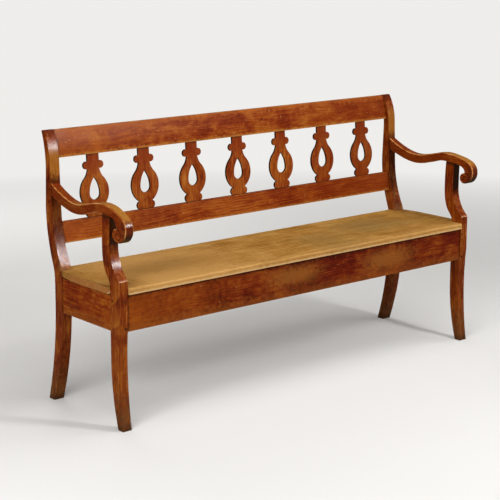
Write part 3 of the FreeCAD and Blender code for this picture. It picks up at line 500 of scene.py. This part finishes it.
# Aprons. Deep boards tenoned between the posts, darker than the back because less handled, with
# dirt and painted shade under the seat's edge and beside the posts, and a worn lower edge.
APRON_TONES = [(0.050, 0.0022, 0.0003), (0.090, 0.0050, 0.0006), (0.136, 0.0115, 0.0011),
               (0.196, 0.0300, 0.0026), (0.300, 0.0800, 0.0080)]
APRON_SCUFF = (0.270, 0.090, 0.0140)
SIDE_TONES = [(0.090, 0.0060, 0.0003), (0.165, 0.0170, 0.0010), (0.225, 0.0340, 0.0020),
              (0.300, 0.0700, 0.0045), (0.400, 0.1400, 0.0130)]
APRON_ARRIS = 0.0012
# Painted shade with dirt under the seat's overhang and beside the front posts.
under_seat_shade_and_dirt = (DIRT_AND_PAINTED_SHADE, 0.93, [("Z", 0.4270, 0.4190)])
beside_front_post_shade_and_dirt = (DIRT_AND_PAINTED_SHADE, 0.80, [("+-X", 0.7586, 0.7510)])
worn_low = (APRON_SCUFF, 0.45, [("Z", 0.311, 0.345)])
left_light = (SIDE_TONES[3], 0.50, [("X", -0.760, -0.200)])
scuff_left = (APRON_SCUFF, 0.75, [("X", -0.120, -0.220), ("X", -0.020, 0.080), ("Z", 0.395, 0.425),
                                  ("Z", 0.370, 0.335)])
scuff_right = (APRON_SCUFF, 0.75, [("X", 0.320, 0.220), ("X", 0.430, 0.540), ("Z", 0.385, 0.420),
                                   ("Z", 0.360, 0.325)])
apron_wood = varnished_wood("apron_wood", "X", APRON_TONES,
                            [left_light, worn_low, scuff_left, scuff_right, under_seat_shade_and_dirt,
                             beside_front_post_shade_and_dirt],
                            pith=(0.0, -0.26, 0.33), tilt=(0.0, 1.0, 0.8), rings=0.18, clouds=0.60,
                            roughness=(0.28, 0.42), gloss=0.2, flecks=0.5)
# Painted shade with dirt at the side aprons' ends beside the posts.
beside_corner_posts_shade_and_dirt = [(DIRT_AND_PAINTED_SHADE, 0.85, [("Y", -0.1430, -0.1370)]),
                       (DIRT_AND_PAINTED_SHADE, 0.85, [("Y", 0.1345, 0.1290)])]
side_apron_wood = varnished_wood("side_apron_wood", "Y", SIDE_TONES,
                                 [worn_low, under_seat_shade_and_dirt] + beside_corner_posts_shade_and_dirt,
                                 pith=(0.83, 0.0, 0.36), tilt=(1.0, 0.0, 1.5), rings=0.12,
                                 clouds=0.52, gloss=0.22, flecks=0.5)
for node in ("front_apron", "rear_apron"):
    worn_copy(node, APRON_ARRIS, [apron_wood, rail_arris])
for node in ("side_apron_left", "side_apron_right"):
    worn_copy(node, APRON_ARRIS, [side_apron_wood, rail_arris])


# Bearers and glue blocks. Bare sawn pine, out of sight under the seat: three bearers let in
# between the long aprons, and eight triangular blocks glued into the corner under the board.
BARE_TONES = [(0.280, 0.150, 0.0600), (0.340, 0.190, 0.0780), (0.390, 0.230, 0.1000),
              (0.430, 0.265, 0.1220), (0.480, 0.310, 0.1500)]
BARE_ARRIS = 0.001
bare_wood = varnished_wood("bare_wood", "Y", BARE_TONES, roughness=(0.6, 0.8), gloss=0.2)
for node in ("seat_bearer_1", "seat_bearer_2", "seat_bearer_3", "glue_blocks"):
    worn_copy(node, BARE_ARRIS, [bare_wood])


# Pegs. Whittled hardwood, driven through the tenons of the aprons and arms in eight-sided
# holes and cut off flush; their end grain is dark with dirt.
PEG_ARRIS = 0.0005
peg_wood = varnished_wood("peg_wood", "X", SAWN_TONES)
for node in ("arm_pegs", "front_apron_pegs", "side_apron_pegs", "rear_apron_pegs"):
    worn_copy(node, PEG_ARRIS, [peg_wood])


# Studio: a pale floor, one softbox at the front that the varnish mirrors, and broad soft fills.
FLOOR_PALE = (0.74, 0.73, 0.71)
FLOOR_BOUNCE = (0.20, 0.16, 0.11)
BACKDROP = (0.86, 0.85, 0.83)
FLOOR_LIT_TO = 1.9
FLOOR_FADED_AT = 4.2
bpy.ops.object.select_all(action="DESELECT")
bpy.ops.mesh.primitive_plane_add(size=80.0, location=(0.0, 0.0, 0.0))
floor = bpy.context.object
floor.name = "studio_floor"
floor_paint = bpy.data.materials.new("floor_paint")
floor_paint.use_nodes = True
floor_shader = floor_paint.node_tree.nodes["Principled BSDF"]
floor_shader.inputs["Roughness"].default_value = 0.9
floor_shader.inputs["Specular IOR Level"].default_value = 0.1
ray = add_node(floor_paint, "ShaderNodeLightPath").outputs["Is Camera Ray"]
paint = blend_colour(floor_paint, ray, FLOOR_BOUNCE, FLOOR_PALE)
link(floor_paint, paint, floor_shader.inputs["Base Color"])
spot = add_node(floor_paint, "ShaderNodeTexCoord").outputs["Object"]
radius = add_node(floor_paint, "ShaderNodeVectorMath", settings={"operation": "LENGTH"})
link(floor_paint, spot, radius.inputs[0])
faded = between(floor_paint, radius.outputs["Value"], FLOOR_LIT_TO, FLOOR_FADED_AT)
faded = combined(floor_paint, faded, ray)
haze = add_node(floor_paint, "ShaderNodeEmission", Color=(*BACKDROP, 1.0), Strength=1.0)
fade = add_node(floor_paint, "ShaderNodeMixShader")
link(floor_paint, faded, fade.inputs[0])
link(floor_paint, floor_shader.outputs["BSDF"], fade.inputs[1])
link(floor_paint, haze.outputs["Emission"], fade.inputs[2])
floor_surface = floor_paint.node_tree.nodes["Material Output"].inputs["Surface"]
link(floor_paint, fade.outputs["Shader"], floor_surface)
floor.data.materials.append(floor_paint)

BENCH_MIDDLE = (0.0, 0.0, 0.5)


def soft_light(name, place, size, power, mirrored=False):
    """A rectangular lamp turned to the bench; only a mirrored one shows in the varnish."""
    lamp = bpy.data.lights.new(name, "AREA")
    lamp.shape = "RECTANGLE"
    lamp.size, lamp.size_y = size
    lamp.energy = power
    stand = bpy.data.objects.new(name, lamp)
    bpy.context.scene.collection.objects.link(stand)
    stand.location = place
    stand.visible_glossy = mirrored
    stand.rotation_mode = "QUATERNION"
    stand.rotation_quaternion = (Vector(BENCH_MIDDLE) - Vector(place)).to_track_quat("-Z", "Y")


soft_light("softbox", (0.95, -2.40, 2.00), (0.42, 0.62), 42.0, mirrored=True)
soft_light("left_fill", (-3.6, -2.0, 1.7), (2.4, 2.4), 150.0)
soft_light("right_fill", (3.4, -1.6, 1.9), (2.0, 2.0), 28.0)
soft_light("top_light", (0.0, -0.7, 3.3), (3.4, 2.2), 54.0)
soft_light("back_fill", (0.6, 3.4, 1.9), (2.4, 2.0), 56.0)

AMBIENT = (1.0, 0.96, 0.90)
AMBIENT_STRENGTH = 0.06
world = bpy.data.worlds.new("studio")
bpy.context.scene.world = world
world.use_nodes = True
sky = world.node_tree
ambient = sky.nodes["Background"]
ambient.inputs["Color"].default_value = (*AMBIENT, 1.0)
ambient.inputs["Strength"].default_value = AMBIENT_STRENGTH
backdrop = sky.nodes.new("ShaderNodeBackground")
backdrop.inputs["Color"].default_value = (*BACKDROP, 1.0)
backdrop.inputs["Strength"].default_value = 1.0
rays = sky.nodes.new("ShaderNodeLightPath")
choice = sky.nodes.new("ShaderNodeMixShader")
sky.links.new(rays.outputs["Is Camera Ray"], choice.inputs["Fac"])
sky.links.new(ambient.outputs["Background"], choice.inputs[1])
sky.links.new(backdrop.outputs["Background"], choice.inputs[2])
sky.links.new(choice.outputs["Shader"], sky.nodes["World Output"].inputs["Surface"])


# Camera at the photograph's place: it stands to the bench's left, level with the crest and above.
CAMERA_PLACE = (-3.2035, -3.6528, 1.5423)
CAMERA_YAW = -40.256
CAMERA_DOWN = 10.941
CAMERA_ROLL = -0.160
FOCAL_PIXELS = 1429.02
PICTURE = 500.0
SENSOR = 36.0
RISE_PIXELS = 50.0
lens = bpy.data.cameras.new("photo_camera")
lens.sensor_width = SENSOR
lens.lens = FOCAL_PIXELS / PICTURE * SENSOR
lens.shift_y = -RISE_PIXELS / PICTURE
camera = bpy.data.objects.new("photo_camera", lens)
bpy.context.scene.collection.objects.link(camera)
camera.location = CAMERA_PLACE
camera.rotation_mode = "XYZ"
camera.rotation_euler = (math.radians(90.0 - CAMERA_DOWN), 0.0, math.radians(CAMERA_YAW))
camera.rotation_euler.rotate_axis("Z", math.radians(-CAMERA_ROLL))
bpy.context.scene.camera = camera

bpy.context.scene.view_settings.view_transform = "Standard"
